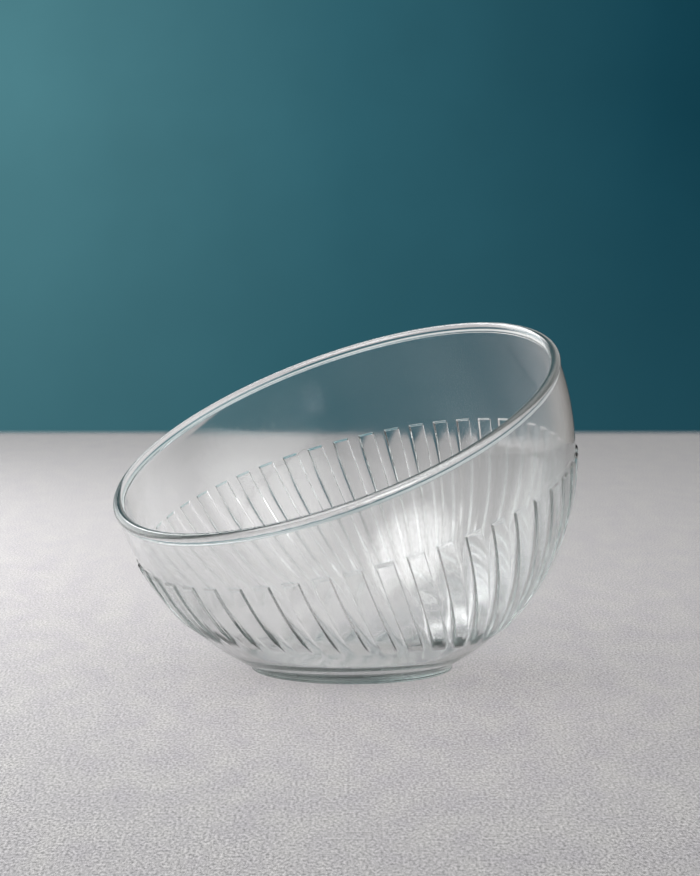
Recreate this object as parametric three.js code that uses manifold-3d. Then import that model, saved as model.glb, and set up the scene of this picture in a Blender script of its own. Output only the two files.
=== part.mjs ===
// A slanted nut bowl of clear pressed glass: one ellipsoidal shell whose axis leans, with a rounded
// rim, a ring of raised flat-faced ribs on the outside and a flat round foot.
// Millimetres, +Z up. The origin is the centre of the foot's underside. The rim is highest towards +X,
// and the XZ plane is a plane of symmetry.
import * as THREE from "three";
import { mergeVertices } from "three/addons/utils/BufferGeometryUtils.js";
import Module from "manifold-3d";

const degrees = THREE.MathUtils.degToRad;

// The wall: half an ellipsoid of revolution about an axis that leans, widest a little below the rim.
const RIM_DIAMETER = 130;
const RIM_TILT = degrees(24.4);
const WALL_THICKNESS = 2.5;
const BELLY_BELOW_RIM = 5.4;
const BELLY_TO_POLE = 70;
const BASE_THICKNESS = 4.2;

// The rim is melted into a round bead, which stands out from the wall outside and is flush inside.
const BEAD_OVERHANG = 0.5;

// The foot: a low flat pad that the bowl stands on. The wall is cut level to sit on it.
const FOOT_DIAMETER = 56.2;
const FOOT_HEIGHT = 1.6;
const FOOT_EDGE = 0.5;
const FOOT_TOWARDS_HIGH_SIDE = 0.8;

// The ribs: raised bands along the meridians, from a slanted top line down to a level line.
const RIB_COUNT = 48;
const RIB_WIDTH = 4.1;
const RIB_HEIGHT = 0.8;
const RIB_ROOT = 0.8;
const RIB_TOP_TILT = degrees(18.1);
const RIB_TOP_BELOW_RIM = 23.4;
const RIB_END_ABOVE_FOOT = 8.4;
const RIB_RUN_OUT = 7;

// How finely the round surfaces are faceted.
const TURN_STEPS = 60;
const OUTSIDE_STEPS = 11;
const BEAD_STEPS = 6;
const INSIDE_STEPS = 9;
const RIB_STEPS = 5;

// Sizes that follow from the ones above.
const bellyRadius = RIM_DIAMETER / 2 - BEAD_OVERHANG;
const insideRadius = bellyRadius - WALL_THICKNESS;
const insideLength = BELLY_TO_POLE - WALL_THICKNESS;
const beadRadius = (WALL_THICKNESS + BEAD_OVERHANG) / 2;
const beadCentreRadius = RIM_DIAMETER / 2 - beadRadius;
const footRadius = FOOT_DIAMETER / 2;

// The ellipsoid's half height as it leans, and the place of its lowest point along X.
const leanCos = Math.cos(RIM_TILT);
const leanSin = Math.sin(RIM_TILT);
const halfHeight = Math.hypot(BELLY_TO_POLE * leanCos, bellyRadius * leanSin);
const lowestX = ((BELLY_TO_POLE ** 2 - bellyRadius ** 2) * leanSin * leanCos) / halfHeight;

// The cut for the foot is as wide as the foot, which sets how high the belly stands.
const cutShare = Math.sqrt(1 - (footRadius / bellyRadius) ** 2);
const bellyHeight = FOOT_HEIGHT + halfHeight * cutShare;
const bellyX = -lowestX * cutShare - FOOT_TOWARDS_HIGH_SIDE;

// The leaning axis, up out of the bowl, and the direction of the rim's high side. Depth runs down the
// axis from the plane of the rim.
const axisUp = new THREE.Vector3(-leanSin, 0, leanCos);
const highSide = new THREE.Vector3(leanCos, 0, leanSin);
const acrossSide = new THREE.Vector3(0, 1, 0);
const rimCentre = new THREE.Vector3(bellyX, 0, bellyHeight).addScaledVector(axisUp, BELLY_BELOW_RIM);

// Radius of an ellipsoid about the belly's centre at a depth below the rim.
function radiusAt(depth, radius, length) {
  return radius * Math.sqrt(1 - ((depth - BELLY_BELOW_RIM) / length) ** 2);
}

// A point of the outer wall, raised along the wall's normal.
function onWall(turn, depth, raised = 0) {
  const radius = radiusAt(depth, bellyRadius, BELLY_TO_POLE);
  const normal = new THREE.Vector2(
    radius / bellyRadius ** 2,
    (depth - BELLY_BELOW_RIM) / BELLY_TO_POLE ** 2,
  ).normalize();
  const outward = highSide
    .clone()
    .multiplyScalar(Math.cos(turn))
    .addScaledVector(acrossSide, Math.sin(turn));
  return rimCentre
    .clone()
    .addScaledVector(outward, radius + raised * normal.x)
    .addScaledVector(axisUp, -(depth + raised * normal.y));
}

// The depth at which the meridian at this turn passes a level, found by halving.
function depthWhere(turn, isAbove) {
  let upper = 0;
  let lower = BELLY_BELOW_RIM + BELLY_TO_POLE;
  for (let i = 0; i < 40; i++) {
    const middle = (upper + lower) / 2;
    if (isAbove(onWall(turn, middle))) upper = middle;
    else lower = middle;
  }
  return upper;
}

const wasm = await Module();
wasm.setup();

function solidOf(geometry) {
  geometry.deleteAttribute("normal");
  geometry.deleteAttribute("uv");
  const merged = mergeVertices(geometry, 1e-4);
  return new wasm.Manifold(
    new wasm.Mesh({
      numProp: 3,
      vertProperties: merged.attributes.position.array,
      triVerts: new Uint32Array(merged.index.array),
    }),
  );
}

function geometryOf(solid) {
  const mesh = solid.getMesh();
  const geometry = new THREE.BufferGeometry();
  geometry.setAttribute("position", new THREE.BufferAttribute(mesh.vertProperties, 3));
  geometry.setIndex(new THREE.BufferAttribute(mesh.triVerts, 1));
  geometry.computeVertexNormals();
  return geometry;
}

// Part of an ellipsoid's half section about the belly's centre. Its slope is 0 at the belly and a right
// angle at the pole.
function wallSection(radius, length, fromSlope, toSlope, steps) {
  const points = [];
  for (let i = 0; i <= steps; i++) {
    const slope = THREE.MathUtils.lerp(fromSlope, toSlope, i / steps);
    const depth = BELLY_BELOW_RIM + length * Math.sin(slope);
    points.push(new THREE.Vector2(radius * Math.cos(slope), -depth));
  }
  return points;
}

const atPole = Math.PI / 2;
const slopeAt = (depth, length) => Math.asin((depth - BELLY_BELOW_RIM) / length);

// The shell's half section, from the pole outside, over the bead and down to the pole inside. The bead
// meets the outer wall in a crease and runs smoothly into the inner one.
function shellSection() {
  const outsideRadius = radiusAt(beadRadius, bellyRadius, BELLY_TO_POLE);
  const beadStart = -Math.acos((outsideRadius - beadCentreRadius) / beadRadius);
  const creaseSlope = slopeAt(beadRadius * (1 - Math.sin(beadStart)), BELLY_TO_POLE);
  const insideSlope = slopeAt(beadRadius, insideLength);
  const points = wallSection(bellyRadius, BELLY_TO_POLE, atPole, creaseSlope, OUTSIDE_STEPS);
  for (let i = 1; i < BEAD_STEPS; i++) {
    const angle = THREE.MathUtils.lerp(beadStart, Math.PI, i / BEAD_STEPS);
    points.push(
      new THREE.Vector2(
        beadCentreRadius + beadRadius * Math.cos(angle),
        beadRadius * Math.sin(angle) - beadRadius,
      ),
    );
  }
  return points.concat(wallSection(insideRadius, insideLength, insideSlope, atPole, INSIDE_STEPS));
}

// A half section turned about the leaning axis.
function turned(section) {
  const geometry = new THREE.LatheGeometry(section, TURN_STEPS);
  const lean = new THREE.Matrix4().makeBasis(acrossSide, axisUp, highSide);
  return solidOf(geometry.applyMatrix4(lean.setPosition(rimCentre)));
}

// The glass that fills the hollow up to its flat bottom. Its sides end in the middle of the wall.
function flatBottom() {
  const middle = WALL_THICKNESS / 2;
  const section = wallSection(bellyRadius - middle, BELLY_TO_POLE - middle, atPole, 0, INSIDE_STEPS);
  section.push(new THREE.Vector2(0, -BELLY_BELOW_RIM));
  return turned(section).trimByPlane([0, 0, -1], -BASE_THICKNESS);
}

// One rib: a band of flat section lofted along its meridian, rooted in the wall and running out to
// nothing above the foot.
function rib(index) {
  const pitch = (2 * Math.PI) / RIB_COUNT;
  const middle = (index + 0.5) * pitch;
  const halfWidth = RIB_WIDTH / bellyRadius / 2;
  const topLine = rimCentre.clone().addScaledVector(axisUp, -RIB_TOP_BELOW_RIM);
  const topUp = new THREE.Vector3(-Math.sin(RIB_TOP_TILT), 0, Math.cos(RIB_TOP_TILT));
  const sides = [middle - halfWidth, middle + halfWidth].map((turn) => ({
    turn,
    from: depthWhere(turn, (point) => point.clone().sub(topLine).dot(topUp) > 0),
    to: depthWhere(turn, (point) => point.z > FOOT_HEIGHT + RIB_END_ABOVE_FOOT),
  }));
  const length = sides[0].to - sides[0].from;
  const runOut = Math.min(RIB_RUN_OUT / length, 0.5);
  const stations = [];
  for (let i = 0; i <= RIB_STEPS; i++) stations.push((i / RIB_STEPS) * (1 - runOut));
  stations.push(1);

  const corners = [];
  for (const station of stations) {
    const height = station < 1 ? RIB_HEIGHT : 0;
    const [right, left] = sides.map(({ turn, from, to }) => {
      const depth = THREE.MathUtils.lerp(from, to, station);
      return [onWall(turn, depth, height), onWall(turn, depth, -RIB_ROOT)];
    });
    corners.push(right[0], left[0], left[1], right[1]);
  }
  const faces = [0, 1, 2, 0, 2, 3];
  for (let i = 0; i + 1 < stations.length; i++) {
    for (let j = 0; j < 4; j++) {
      const a = i * 4 + j;
      const b = i * 4 + ((j + 1) % 4);
      faces.push(a, a + 4, b + 4, a, b + 4, b);
    }
  }
  const last = corners.length - 4;
  faces.push(last, last + 2, last + 1, last, last + 3, last + 2);
  const geometry = new THREE.BufferGeometry().setFromPoints(corners);
  geometry.setIndex(faces);
  return solidOf(geometry);
}

// The foot, turned about the vertical, with its lower edge rounded off. It runs a little way up into
// the base, so that the two are one piece of glass.
function foot() {
  const footTop = (FOOT_HEIGHT + BASE_THICKNESS) / 2;
  const section = [new THREE.Vector2(0, 0)];
  for (let i = 0; i <= 3; i++) {
    const angle = (i / 3 - 1) * (Math.PI / 2);
    section.push(
      new THREE.Vector2(
        footRadius - FOOT_EDGE + FOOT_EDGE * Math.cos(angle),
        FOOT_EDGE + FOOT_EDGE * Math.sin(angle),
      ),
    );
  }
  section.push(new THREE.Vector2(footRadius, footTop), new THREE.Vector2(0, footTop));
  const geometry = new THREE.LatheGeometry(section, TURN_STEPS);
  return solidOf(geometry.rotateX(Math.PI / 2));
}

function glassBowl() {
  let solid = turned(shellSection()).add(flatBottom());
  for (let i = 0; i < RIB_COUNT; i++) solid = solid.add(rib(i));
  solid = solid.trimByPlane([0, 0, 1], FOOT_HEIGHT).add(foot());
  const glass = new THREE.MeshStandardMaterial({
    color: 0xdbe7e4,
    roughness: 0.04,
    metalness: 0,
    transparent: true,
    opacity: 0.35,
  });
  const mesh = new THREE.Mesh(geometryOf(solid), glass);
  mesh.name = "glass_bowl";
  return mesh;
}

const bowl = new THREE.Group();
bowl.add(glassBowl());

export default bowl;
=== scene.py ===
import math

import bpy
import numpy as np
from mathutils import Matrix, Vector


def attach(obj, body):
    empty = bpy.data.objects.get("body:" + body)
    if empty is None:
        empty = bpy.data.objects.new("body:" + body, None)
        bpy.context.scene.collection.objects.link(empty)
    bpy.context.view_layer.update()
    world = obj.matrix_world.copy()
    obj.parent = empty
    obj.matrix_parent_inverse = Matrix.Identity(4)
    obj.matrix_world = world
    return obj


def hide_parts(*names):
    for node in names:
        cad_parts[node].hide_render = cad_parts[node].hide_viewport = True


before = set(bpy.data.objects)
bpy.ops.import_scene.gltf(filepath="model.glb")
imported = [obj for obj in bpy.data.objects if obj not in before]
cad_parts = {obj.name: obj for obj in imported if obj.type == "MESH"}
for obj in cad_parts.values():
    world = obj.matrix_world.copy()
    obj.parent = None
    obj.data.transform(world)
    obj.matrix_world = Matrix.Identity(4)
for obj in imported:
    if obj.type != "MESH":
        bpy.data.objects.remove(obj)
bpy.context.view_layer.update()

# The bowl's wall, outside and inside.
# One gob of clear soda-lime glass is pressed into half of an ellipsoid whose axis leans, so that the
# mouth stands higher on one side. The plunger leaves the same thickness all round and a flat bottom.
MM = 0.001
RIM_DIAMETER = 130
RIM_TILT = math.radians(24.4)
WALL_THICKNESS = 2.5
BELLY_BELOW_RIM = 5.4
BELLY_TO_POLE = 70
BASE_THICKNESS = 4.2
BOTTOM_BLEND = 3
BEAD_OVERHANG = 0.5
FOOT_DIAMETER = 56.2
FOOT_HEIGHT = 1.6
FOOT_TOWARDS_HIGH_SIDE = 0.8

belly_radius = RIM_DIAMETER / 2 - BEAD_OVERHANG
inside_radius = belly_radius - WALL_THICKNESS
inside_length = BELLY_TO_POLE - WALL_THICKNESS
foot_radius = FOOT_DIAMETER / 2
lean_cos = math.cos(RIM_TILT)
lean_sin = math.sin(RIM_TILT)
half_height = math.hypot(BELLY_TO_POLE * lean_cos, belly_radius * lean_sin)
lowest_x = (BELLY_TO_POLE**2 - belly_radius**2) * lean_sin * lean_cos / half_height
cut_share = math.sqrt(1 - (foot_radius / belly_radius) ** 2)
belly_height = FOOT_HEIGHT + half_height * cut_share
belly_x = -lowest_x * cut_share - FOOT_TOWARDS_HIGH_SIDE

axis_up = np.array([-lean_sin, 0, lean_cos])
high_side = np.array([lean_cos, 0, lean_sin])
across_side = np.array([0, 1, 0])
belly_centre = np.array([belly_x, 0, belly_height])
rim_centre = belly_centre + axis_up * BELLY_BELOW_RIM


def unit(vectors):
    """Rows of vectors, each made one long."""
    return vectors / np.linalg.norm(vectors, axis=1, keepdims=True)


def outward(turn):
    """Directions square to the leaning axis, turned from the rim's high side."""
    return np.cos(turn)[:, None] * high_side + np.sin(turn)[:, None] * across_side


def ellipsoid(turn, slope, radius, length):
    """Points of an ellipsoid about the belly's centre, and its normals there."""
    out, down = np.cos(slope)[:, None], np.sin(slope)[:, None]
    points = belly_centre + radius * out * outward(turn) - length * down * axis_up
    return points, unit(out / radius * outward(turn) - down / length * axis_up)


def slope_where(turn, origin, up):
    """The slope at which each meridian of the outer wall passes a plane, found by halving."""
    upper = np.full(turn.shape, -0.1)
    lower = np.full(turn.shape, math.pi / 2)
    for _ in range(40):
        middle = (upper + lower) / 2
        above = (ellipsoid(turn, middle, belly_radius, BELLY_TO_POLE)[0] - origin) @ up > 0
        upper = np.where(above, middle, upper)
        lower = np.where(above, lower, middle)
    return upper


# The ribs on the outside.
# The mould leaves 48 raised bands with nearly flat faces, steep flanks and square upper ends, and a
# hollow curve between neighbours. They start on a slanted line and run out on a level line.
RIB_COUNT = 48
RIB_WIDTH = 4.1
RIB_HEIGHT = 0.8
RIB_TOP_TILT = math.radians(18.1)
RIB_TOP_BELOW_RIM = 23.4
RIB_END_ABOVE_FOOT = 8.4
RIB_RUN_OUT = 9
FACE_CROWN = 0.06
FLANK_WIDTH = 0.52
HOLLOW_SHARE = 0.52
HOLLOW_FADE = 14
END_FLANK = 0.7

rib_pitch = 2 * math.pi / RIB_COUNT
rib_half = RIB_WIDTH / 2
groove_half = rib_pitch * belly_radius / 2 - rib_half


def falls(share):
    """A smooth fall from one to nought as a share goes from nought to one, and its slope."""
    share = np.clip(share, 0, 1)
    return 1 - share**2 * (3 - 2 * share), -6 * share * (1 - share)


flank_steps = np.array([0, 0.3, 0.7, 1]) * FLANK_WIDTH
hollow_steps = np.linspace(flank_steps[-1], groove_half, 5)[1:-1]
beyond_edge = np.concatenate([[-rib_half / 2], flank_steps, hollow_steps])
one_side = (rib_half + beyond_edge) / belly_radius
across_rib = np.concatenate([-one_side[::-1], [0], one_side, [rib_pitch / 2]])
rib_middles = (np.arange(RIB_COUNT) + 0.5) * rib_pitch
turns = (rib_middles[:, None] + across_rib).ravel()
on_plain_parts = np.isin(np.abs(across_rib), [0, rib_half / belly_radius, rib_pitch / 2])
plain_columns = np.flatnonzero(np.tile(on_plain_parts, RIB_COUNT))
plain_turns = turns[plain_columns]

from_middle = np.abs(across_rib) * belly_radius
on_face = np.clip(from_middle / rib_half, 0, 1)
flank_height, flank_slope = falls((from_middle - rib_half) / FLANK_WIDTH)
hollow_left = np.clip(1 - (from_middle - rib_half) / groove_half, 0, 1)
hollow_slope = np.where(from_middle > rib_half, -3 * hollow_left**2 / groove_half, 0)
crown_slope = np.where(from_middle <= rib_half, -2 * FACE_CROWN * on_face / rib_half, 0)
sides = np.tile(np.sign(across_rib), RIB_COUNT)
rib_height = np.tile(flank_height * (1 - FACE_CROWN * on_face**2), RIB_COUNT)
rib_slope = sides * np.tile(flank_slope / FLANK_WIDTH + crown_slope, RIB_COUNT)
hollow_height = np.tile(HOLLOW_SHARE * (hollow_left**3 - flank_height), RIB_COUNT)
hollow_slope = sides * np.tile(HOLLOW_SHARE * (hollow_slope - flank_slope / FLANK_WIDTH), RIB_COUNT)
sideways = outward(turns + math.pi / 2)

top_line = rim_centre - axis_up * RIB_TOP_BELOW_RIM
top_up = np.array([-math.sin(RIB_TOP_TILT), 0, math.cos(RIB_TOP_TILT)])
level_up = np.array([0, 0, 1])
tip_line = np.array([0, 0, FOOT_HEIGHT + RIB_END_ABOVE_FOOT])
rib_top = slope_where(turns, top_line, top_up)
rib_tip = slope_where(turns, tip_line, level_up)
run_out = RIB_RUN_OUT / BELLY_TO_POLE


def slant(origin, up):
    """How far a line round the wall goes down for each step across it, at the belly."""
    step = 0.001
    drop = slope_where(turns + step, origin, up) - slope_where(turns - step, origin, up)
    return drop * BELLY_TO_POLE / (2 * step * belly_radius)


top_slant = slant(top_line, top_up)
tip_slant = slant(tip_line, level_up)


def ribbed_wall(slope):
    """One ring of the outer wall with its ribs: points and normals."""
    points, normals = ellipsoid(turns, slope, belly_radius, BELLY_TO_POLE)
    downwards = unit(np.cross(normals, sideways))
    below_top = (slope - rib_top) * BELLY_TO_POLE
    end_height, end_slope = falls(-below_top / END_FLANK)
    unhollowed, hollowing = falls(below_top / HOLLOW_FADE)
    tip_height, tip_slope = falls(1 - (rib_tip - slope) / run_out)
    across_height = rib_height + hollow_height * (1 - unhollowed)
    across_slope = rib_slope + hollow_slope * (1 - unhollowed)
    height = RIB_HEIGHT * across_height * end_height * tip_height
    end_fall = -across_height * end_slope / END_FLANK
    end_fall -= hollow_height * hollowing / HOLLOW_FADE * end_height
    end_fall *= RIB_HEIGHT * tip_height
    tip_fall = RIB_HEIGHT * across_height * end_height * tip_slope / RIB_RUN_OUT
    tilt_down = end_fall + tip_fall
    tilt_across = RIB_HEIGHT * across_slope * end_height * tip_height
    tilt_across = (tilt_across - end_fall * top_slant - tip_fall * tip_slant) / np.cos(slope)
    tilted = normals - tilt_across[:, None] * sideways - tilt_down[:, None] * downwards
    return points + height[:, None] * normals, unit(tilted)


# The rim.
# The pressed edge is melted in a flame, which rounds it into a bead that stands out a little outside.
bead_radius = (WALL_THICKNESS + BEAD_OVERHANG) / 2
bead_centre = RIM_DIAMETER / 2 - bead_radius


def bead_meets(radius, length):
    """Slope of the wall where it runs into the bead, and the bead's own angle there."""
    out = radius * math.sqrt(1 - ((bead_radius - BELLY_BELOW_RIM) / length) ** 2)
    drop = math.sqrt(max(bead_radius**2 - (out - bead_centre) ** 2, 0))
    slope = math.asin((bead_radius + drop - BELLY_BELOW_RIM) / length)
    return slope, math.atan2(-drop, out - bead_centre)


def bead(angle):
    """One ring of the bead."""
    normals = math.cos(angle) * outward(plain_turns) + math.sin(angle) * axis_up
    middle = rim_centre - bead_radius * axis_up + bead_centre * outward(plain_turns)
    return middle + bead_radius * normals, normals


outside_slope, bead_start = bead_meets(belly_radius, BELLY_TO_POLE)
inside_slope, bead_end = bead_meets(inside_radius, inside_length)
bead_end += 2 * math.pi


def inside(slope):
    """One ring of the inside, lifted on to the flat bottom where it would go lower, with a soft blend."""
    slopes = np.full(plain_turns.shape, slope)
    points, normals = ellipsoid(plain_turns, slopes, inside_radius, inside_length)
    above = points[:, 2] - BASE_THICKNESS
    blend = np.clip(1 - np.abs(above) / BOTTOM_BLEND, 0, 1)
    points[:, 2] = BASE_THICKNESS + np.maximum(above, 0) + blend**2 * BOTTOM_BLEND / 4
    steepness = (above > 0) - np.sign(above) * blend / 2
    return points, unit(-normals * np.stack([steepness, steepness, np.ones(slopes.shape)], 1))


# The foot.
# A low flat pad with a rounded lower edge is pressed in one with the base. The wall sweeps in to it.
FOOT_EDGE = 0.5
FOOT_SIDE_TOP = 0.7
FOOT_SWEEP = 1.2

sweep_start = slope_where(turns, np.array([0, 0, FOOT_HEIGHT + FOOT_SWEEP]), level_up)
sweep_ring, sweep_normals = ribbed_wall(sweep_start)
foot_turns = np.arctan2(sweep_ring[:, 1], sweep_ring[:, 0])
foot_out = np.stack([np.cos(foot_turns), np.sin(foot_turns), np.zeros(turns.shape)], 1)
foot_along = np.stack([-np.sin(foot_turns), np.cos(foot_turns), np.zeros(turns.shape)], 1)


def foot_edge(angle):
    """One ring of the foot's rounded edge."""
    normals = math.cos(angle) * foot_out + math.sin(angle) * level_up
    return (foot_radius - FOOT_EDGE) * foot_out + FOOT_EDGE * (normals + level_up), normals


def foot_sweep(share):
    """One ring of the sweep from the foot's side into the wall."""
    side = foot_radius * foot_out + FOOT_SIDE_TOP * level_up
    corner = foot_radius * foot_out + FOOT_HEIGHT * level_up
    points = (1 - share) ** 2 * side + 2 * share * (1 - share) * corner + share**2 * sweep_ring
    upwards = (1 - share) * (corner - side) + share * (sweep_ring - corner)
    return points, unit(np.cross(foot_along, upwards))


# The whole bowl as one closed surface.
# Rings of points run from the middle of the underside up the outside, over the bead and down the
# inside to its middle. They lie close where the ribs' ends, the bead and the foot bend sharply.
UNDERSIDE_RINGS = 2
EDGE_RINGS = 5
SWEEP_RINGS = 5
BARE_RINGS = 6
RUN_OUT_RINGS = 10
RIB_RINGS = 44
END_RINGS = 9
BAND_RINGS = 12
BEAD_RINGS = 22
INSIDE_RINGS = 44
CREASE_MM = 0.3

underside = np.tile(-level_up, (len(turns), 1))
rings = [
    (foot_out * radius, underside)
    for radius in np.linspace(0, foot_radius - FOOT_EDGE, UNDERSIDE_RINGS + 2)[1:-1]
]
rings += [foot_edge(angle) for angle in np.linspace(-math.pi / 2, 0, EDGE_RINGS)]
rings += [foot_sweep(share) for share in np.linspace(0, 1, SWEEP_RINGS, endpoint=False)]


def ribbed_rings(lower, upper, count):
    """Rings up the outer wall between two lines, without the upper line."""
    for share in np.linspace(0, 1, count, endpoint=False):
        rings.append(ribbed_wall(lower + (upper - lower) * share))


end_lines = [rib_top - step * END_FLANK / BELLY_TO_POLE for step in np.linspace(0, 1, END_RINGS)]
ribbed_rings(sweep_start, rib_tip, BARE_RINGS)
ribbed_rings(rib_tip, rib_tip - run_out, RUN_OUT_RINGS)
ribbed_rings(rib_tip - run_out, end_lines[0], RIB_RINGS)
rings += [ribbed_wall(line) for line in end_lines]
band_start = end_lines[-1][plain_columns]
for share in np.linspace(0, 1, BAND_RINGS + 1)[1:]:
    slopes = band_start + (outside_slope + CREASE_MM / BELLY_TO_POLE - band_start) * share
    rings.append(ellipsoid(plain_turns, slopes, belly_radius, BELLY_TO_POLE))
rings += [bead(angle) for angle in np.linspace(bead_start, bead_end, BEAD_RINGS)]
rings += [inside(slope) for slope in np.linspace(inside_slope, math.pi / 2, INSIDE_RINGS)[1:-1]]

inside_middle, _ = inside(math.pi / 2)
points = np.concatenate([ring for ring, _ in rings] + [np.zeros((1, 3)), inside_middle[:1]]) * MM
normals = np.concatenate([normal for _, normal in rings] + [[-level_up], [level_up]])
starts = np.cumsum([0] + [len(ring) for ring, _ in rings])
faces = []
for lower, upper, above in zip(starts, starts[1:], starts[2:]):
    below_count, count = upper - lower, above - upper
    columns = np.arange(count) if count == below_count else plain_columns
    for i in range(count):
        after = (i + 1) % count
        span = np.arange(columns[i], columns[after] + (below_count if after == 0 else 0) + 1)
        faces.append([*(lower + span % below_count), upper + after, upper + i])
first_count = starts[1]
last_count = starts[-1] - starts[-2]
for i in range(first_count):
    faces.append([starts[-1], (i + 1) % first_count, i])
for i in range(last_count):
    faces.append([starts[-2] + i, starts[-2] + (i + 1) % last_count, starts[-1] + 1])

bowl_mesh = bpy.data.meshes.new("pressed_bowl")
bowl_mesh.from_pydata(points.tolist(), [], faces)
bowl_mesh.shade_smooth()
bowl_mesh.normals_split_custom_set_from_vertices(normals.tolist())
bowl = bpy.data.objects.new("pressed_bowl", bowl_mesh)
bpy.context.scene.collection.objects.link(bowl)

# Pressed soda-lime glass.
# Clear and glossy from the flame polish. The mould leaves its skin a little uneven, so lines seen through
# it waver. Light that runs far inside goes grey-green, more than in life, so that rim and foot show it.
GLASS_IOR = 1.52
GLASS_DENSITY = 36
GLASS_SMOOTHEST = 0.045
GLASS_ROUGHEST = 0.07
WAVE_MM = 14
WAVE_DEPTH_MM = 0.004
SKIN_MM = 3


def linear(code):
    """An sRGB hex colour as linear RGBA."""
    values = [int(code[i : i + 2], 16) / 255 for i in (1, 3, 5)]
    return [v / 12.92 if v <= 0.04045 else ((v + 0.055) / 1.055) ** 2.4 for v in values] + [1]


def add_node(tree, kind, inputs, **settings):
    """Adds a node with its settings, and gives each input its value or its link."""
    node = tree.nodes.new(kind)
    for name, value in settings.items():
        setattr(node, name, value)
    for socket, value in inputs.items():
        if isinstance(value, bpy.types.NodeSocket):
            tree.links.new(value, node.inputs[socket])
        else:
            node.inputs[socket].default_value = value
    return node


glass = bpy.data.materials.new("pressed_soda_lime_glass")
glass.use_nodes = True
tree = glass.node_tree
tree.nodes.clear()
where = add_node(tree, "ShaderNodeTexCoord", {}).outputs["Object"]
wave = add_node(tree, "ShaderNodeTexNoise", {"Vector": where, "Scale": 1 / (WAVE_MM * MM), "Detail": 1})
skin = add_node(tree, "ShaderNodeTexNoise", {"Vector": where, "Scale": 1 / (SKIN_MM * MM), "Detail": 2})
gloss = add_node(
    tree,
    "ShaderNodeMapRange",
    {
        "Value": skin.outputs["Fac"],
        "From Min": 0.35,
        "From Max": 0.75,
        "To Min": GLASS_SMOOTHEST,
        "To Max": GLASS_ROUGHEST,
    },
)
waver = add_node(
    tree,
    "ShaderNodeBump",
    {"Height": wave.outputs["Fac"], "Strength": 1, "Distance": WAVE_DEPTH_MM * MM},
)
body = add_node(
    tree,
    "ShaderNodeBsdfPrincipled",
    {
        "Base Color": linear("#FFFFFF"),
        "Roughness": gloss.outputs["Result"],
        "IOR": GLASS_IOR,
        "Transmission Weight": 1,
        "Normal": waver.outputs["Normal"],
    },
)
tint = add_node(
    tree, "ShaderNodeVolumeAbsorption", {"Color": linear("#A6B1AF"), "Density": GLASS_DENSITY}
)
add_node(
    tree,
    "ShaderNodeOutputMaterial",
    {"Surface": body.outputs["BSDF"], "Volume": tint.outputs["Volume"]},
)
bowl_mesh.materials.append(glass)
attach(bowl, "root")
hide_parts("glass_bowl")

# The camera, at the photograph's viewing angle.
# A short telephoto lens a little above the rim, looking slightly down. The frame's long side is 876 px.
FRAME_HEIGHT_MM = 30
LENS_MM = 85.4
VIEW_AZIMUTH = math.radians(-38)
VIEW_ELEVATION = math.radians(4.51)
VIEW_DISTANCE = 691.6
AIM_HEIGHT = 64.12
AIM_ASIDE = -0.55

view_right = Vector((math.cos(VIEW_AZIMUTH), math.sin(VIEW_AZIMUTH), 0))
view_ahead = Vector((-math.sin(VIEW_AZIMUTH), math.cos(VIEW_AZIMUTH), 0))
view_back = Vector((0, 0, math.sin(VIEW_ELEVATION))) - view_ahead * math.cos(VIEW_ELEVATION)
aim = Vector((0, 0, AIM_HEIGHT)) + view_right * AIM_ASIDE
camera_data = bpy.data.cameras.new("camera")
camera_data.sensor_width = FRAME_HEIGHT_MM
camera_data.lens = LENS_MM
camera_data.clip_start = 0.01
camera = bpy.data.objects.new("camera", camera_data)
camera.location = (aim + view_back * VIEW_DISTANCE) * MM
camera.rotation_euler = view_back.to_track_quat("Z", "Y").to_euler()
bpy.context.scene.collection.objects.link(camera)
bpy.context.scene.camera = camera

# The floor.
# A honed concrete slab, laid square to the view, with a matt face of fine grit that the trowel has drawn
# out along the view. It looks pale in the strong light. Its far edge fades into the wall behind the bowl.
SLAB_HALF = 885
SLAB_FADE = 60
SLAB_GAP = 0.1
SLAB_ROUGHNESS = 0.6
GRAIN_STRETCH = 2.5
MOTTLE_MM = 9
GRIT_MM = 0.6
GRIT_DEPTH_MM = 0.1
GRIT_CONTRAST = 0.5

slab_mesh = bpy.data.meshes.new("slab")
half = SLAB_HALF * MM
corners = [(-half, -half, 0), (half, -half, 0), (half, half, 0), (-half, half, 0)]
slab_mesh.from_pydata(corners, [], [(0, 1, 2, 3)])
slab = bpy.data.objects.new("slab", slab_mesh)
slab.location.z = -SLAB_GAP * MM
slab.rotation_euler.z = VIEW_AZIMUTH
bpy.context.scene.collection.objects.link(slab)

concrete = bpy.data.materials.new("honed_concrete")
concrete.use_nodes = True
tree = concrete.node_tree
tree.nodes.clear()
where = add_node(tree, "ShaderNodeTexCoord", {}).outputs["Object"]
drawn_out = add_node(
    tree, "ShaderNodeMapping", {"Vector": where, "Scale": (1, 1 / GRAIN_STRETCH, 1)}
).outputs["Vector"]
mottle = add_node(
    tree, "ShaderNodeTexNoise", {"Vector": drawn_out, "Scale": 1 / (MOTTLE_MM * MM), "Detail": 3}
)
grit = add_node(
    tree, "ShaderNodeTexNoise", {"Vector": drawn_out, "Scale": 1 / (GRIT_MM * MM), "Detail": 2}
)
cloud = add_node(
    tree,
    "ShaderNodeMix",
    {"Factor": mottle.outputs["Fac"], 6: linear("#464447"), 7: linear("#52514F")},
    data_type="RGBA",
)
speck = add_node(
    tree,
    "ShaderNodeMapRange",
    {
        "Value": grit.outputs["Fac"],
        "From Min": 0.3,
        "From Max": 0.7,
        "To Min": 1 - GRIT_CONTRAST,
        "To Max": 1 + GRIT_CONTRAST,
    },
)
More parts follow.
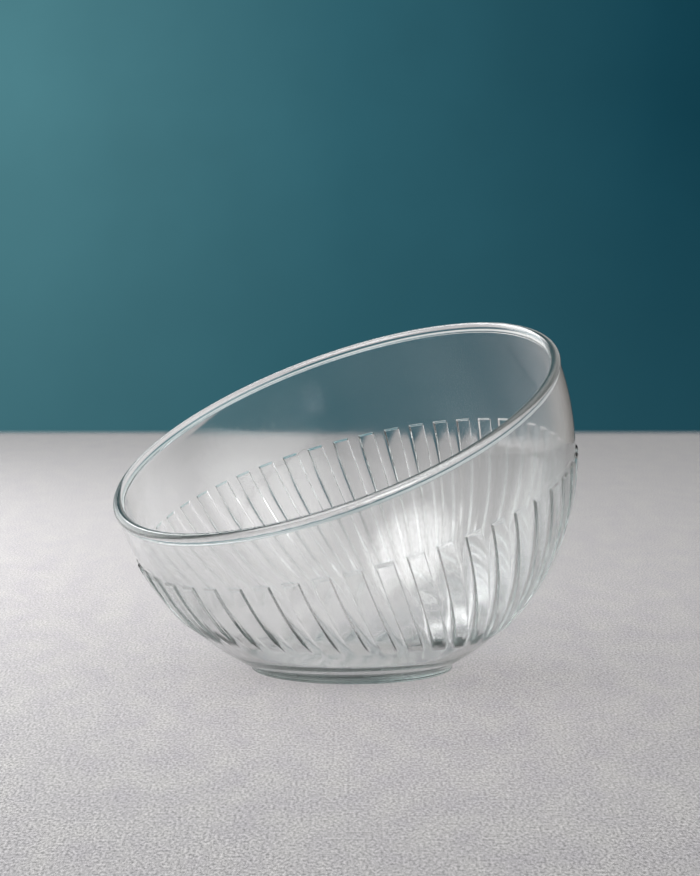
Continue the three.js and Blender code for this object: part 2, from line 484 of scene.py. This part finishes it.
shade = add_node(
    tree,
    "ShaderNodeMix",
    {"Factor": 1, 6: cloud.outputs[2], 7: speck.outputs["Result"]},
    data_type="RGBA",
    blend_type="MULTIPLY",
)
relief = add_node(
    tree,
    "ShaderNodeBump",
    {"Height": grit.outputs["Fac"], "Strength": 0.3, "Distance": GRIT_DEPTH_MM * MM},
)
face = add_node(
    tree,
    "ShaderNodeBsdfPrincipled",
    {"Base Color": shade.outputs[2], "Roughness": SLAB_ROUGHNESS, "Normal": relief.outputs["Normal"]},
)
place = add_node(tree, "ShaderNodeSeparateXYZ", {"Vector": where})
fade = add_node(
    tree,
    "ShaderNodeMapRange",
    {
        "Value": place.outputs["Y"],
        "From Min": (SLAB_HALF - SLAB_FADE) * MM,
        "From Max": SLAB_HALF * MM,
        "To Min": 0,
        "To Max": 1,
    },
    interpolation_type="SMOOTHSTEP",
)
beyond = add_node(tree, "ShaderNodeBsdfTransparent", {})
surface = add_node(
    tree,
    "ShaderNodeMixShader",
    {0: fade.outputs["Result"], 1: face.outputs["BSDF"], 2: beyond.outputs["BSDF"]},
)
add_node(tree, "ShaderNodeOutputMaterial", {"Surface": surface.outputs["Shader"]})
slab_mesh.materials.append(concrete)

# The studio.
# A painted blue-green wall ahead, darker to the right and more even low down, with pale walls round the
# rest and a light ceiling that has one dark corner. Bright soft spots are what the glass mirrors.
WALLS = (
    (-180, "#A6A5A4"),
    (-120, "#C9C9C8"),
    (-60, "#D6D9D9"),
    (-13, "#B4C2C4"),
    (-10, "#50838C"),
    (-7.5, "#4C7E87"),
    (0, "#2F5F6B"),
    (7.5, "#133F4D"),
    (12, "#0F3440"),
    (16, "#77736F"),
    (40, "#B4B2B0"),
    (75, "#DCDAD8"),
    (100, "#D2CFCC"),
    (150, "#A8A5A2"),
    (180, "#A6A5A4"),
)
PAINT_BLOTCHES = 22
PAINT_UNEVENNESS = 0.04
LOW_WALL_SHARE = 0.5
CORNER_AZIMUTH = -35
CORNER_ELEVATION = 44


def towards(azimuth, elevation):
    """A direction in degrees from the view, to the right of straight ahead and up."""
    aside, rise = math.radians(azimuth), math.radians(elevation)
    level = view_right * math.sin(aside) + view_ahead * math.cos(aside)
    return level * math.cos(rise) + Vector((0, 0, math.sin(rise)))


world = bpy.data.worlds.new("studio")
bpy.context.scene.world = world
world.use_nodes = True
tree = world.node_tree
tree.nodes.clear()
direction = add_node(tree, "ShaderNodeTexCoord", {}).outputs["Generated"]
to_right, to_front, height, to_corner = (
    add_node(
        tree, "ShaderNodeVectorMath", {0: direction, 1: axis}, operation="DOT_PRODUCT"
    ).outputs["Value"]
    for axis in (view_right, view_ahead, towards(0, 90), towards(CORNER_AZIMUTH, CORNER_ELEVATION))
)

compass = add_node(tree, "ShaderNodeMath", {0: to_right, 1: to_front}, operation="ARCTAN2")
share_round = add_node(
    tree,
    "ShaderNodeMapRange",
    {
        "Value": compass.outputs["Value"],
        "From Min": -math.pi,
        "From Max": math.pi,
        "To Min": 0,
        "To Max": 1,
    },
)
walls = add_node(tree, "ShaderNodeValToRGB", {"Fac": share_round.outputs["Result"]})
for angle, colour in WALLS[1:-1]:
    walls.color_ramp.elements.new((angle + 180) / 360).color = linear(colour)
walls.color_ramp.elements[0].color = linear(WALLS[0][1])
walls.color_ramp.elements[len(WALLS) - 1].color = linear(WALLS[-1][1])
blotches = add_node(
    tree, "ShaderNodeTexNoise", {"Vector": direction, "Scale": PAINT_BLOTCHES, "Detail": 3}
)
unevenness = add_node(
    tree,
    "ShaderNodeMapRange",
    {
        "Value": blotches.outputs["Fac"],
        "From Min": 0.3,
        "From Max": 0.7,
        "To Min": 1 - PAINT_UNEVENNESS,
        "To Max": 1 + PAINT_UNEVENNESS,
    },
)
paint = add_node(
    tree,
    "ShaderNodeMix",
    {0: 1, 6: walls.outputs["Color"], 7: unevenness.outputs["Result"]},
    data_type="RGBA",
    blend_type="MULTIPLY",
)

# Where the far wall, the ceiling, its corner and the ground begin and are full, as cosines and sines.
on_far_wall, on_ceiling, in_corner, on_ground = (
    add_node(
        tree,
        "ShaderNodeMapRange",
        {"Value": value, "From Min": begins, "From Max": full, "To Min": 0, "To Max": 1},
        interpolation_type="SMOOTHSTEP",
    ).outputs["Result"]
    for value, begins, full in (
        (to_front, 0.97, 0.985),
        (height, 0.105, 0.18),
        (to_corner, 0.74, 0.92),
        (height, -0.12, -0.2),
    )
)
low_down = add_node(
    tree,
    "ShaderNodeMapRange",
    {"Value": height, "From Min": 0.05, "From Max": -0.08, "To Min": 0, "To Max": LOW_WALL_SHARE},
)
low_wall = add_node(
    tree, "ShaderNodeMath", {0: low_down.outputs["Result"], 1: on_far_wall}, operation="MULTIPLY"
)
ceiling = add_node(
    tree,
    "ShaderNodeMix",
    {0: in_corner, 6: linear("#E6E6E4"), 7: linear("#3F717D")},
    data_type="RGBA",
)
room = paint.outputs[2]
for share, colour in (
    (low_wall.outputs["Value"], linear("#27505B")),
    (on_ceiling, ceiling.outputs[2]),
    (on_ground, linear("#A9A7A8")),
):
    room = add_node(tree, "ShaderNodeMix", {0: share, 6: room, 7: colour}, data_type="RGBA").outputs[2]
light = add_node(tree, "ShaderNodeBackground", {"Color": room, "Strength": 1}).outputs["Background"]

# The soft spots: azimuth and elevation from the view, radius of core and of edge in degrees, strength.
# A window behind on the left, and soft lights behind on the right, twice ahead on the left, and overhead.
SOFT_SPOTS = (
    (-126, 47, 10, 27, 5.6),
    (135, 20, 10, 45, 2),
    (-31, 36, 2, 14, 5.5),
    (-50, 18, 5, 30, 2.6),
    (0, 88, 5, 55, 1.2),
)
for azimuth, elevation, core, edge, strength in SOFT_SPOTS:
    nearness = add_node(
        tree,
        "ShaderNodeVectorMath",
        {0: direction, 1: towards(azimuth, elevation)},
        operation="DOT_PRODUCT",
    )
    spot = add_node(
        tree,
        "ShaderNodeMapRange",
        {
            "Value": nearness.outputs["Value"],
            "From Min": math.cos(math.radians(edge)),
            "From Max": math.cos(math.radians(core)),
            "To Min": 0,
            "To Max": strength,
        },
        interpolation_type="SMOOTHSTEP",
    )
    glow = add_node(
        tree, "ShaderNodeBackground", {"Color": linear("#FFFFFF"), "Strength": spot.outputs["Result"]}
    )
    light = add_node(
        tree, "ShaderNodeAddShader", {0: light, 1: glow.outputs["Background"]}
    ).outputs["Shader"]
add_node(tree, "ShaderNodeOutputWorld", {"Surface": light})

# The key light.
# A square soft light on the left, a little beyond the bowl, that lights the floor. It casts no shadow and
# the glass doesn't mirror it, because the soft spots are what shows there.
KEY_SIZE = 300
KEY_POWER = 104
KEY_ASIDE = -745
KEY_AHEAD = 230
KEY_HEIGHT = 315

key_data = bpy.data.lights.new("key_light", "AREA")
key_data.size = KEY_SIZE * MM
key_data.energy = KEY_POWER
key_data.use_shadow = False
key_light = bpy.data.objects.new("key_light", key_data)
key_light.location = (view_right * KEY_ASIDE + view_ahead * KEY_AHEAD + Vector((0, 0, KEY_HEIGHT))) * MM
to_bowl = Vector((0, 0, AIM_HEIGHT * MM)) - key_light.location
key_light.rotation_euler = to_bowl.to_track_quat("-Z", "Y").to_euler()
key_light.visible_glossy = False
key_light.visible_transmission = False
bpy.context.scene.collection.objects.link(key_light)

# How the light is followed.
# Light goes to and fro inside the ribs and the rim many times before it leaves the glass.
GLASS_BOUNCES = 48

scene = bpy.context.scene
scene.view_settings.view_transform = "Standard"
scene.cycles.max_bounces = GLASS_BOUNCES
scene.cycles.glossy_bounces = GLASS_BOUNCES
scene.cycles.transmission_bounces = GLASS_BOUNCES
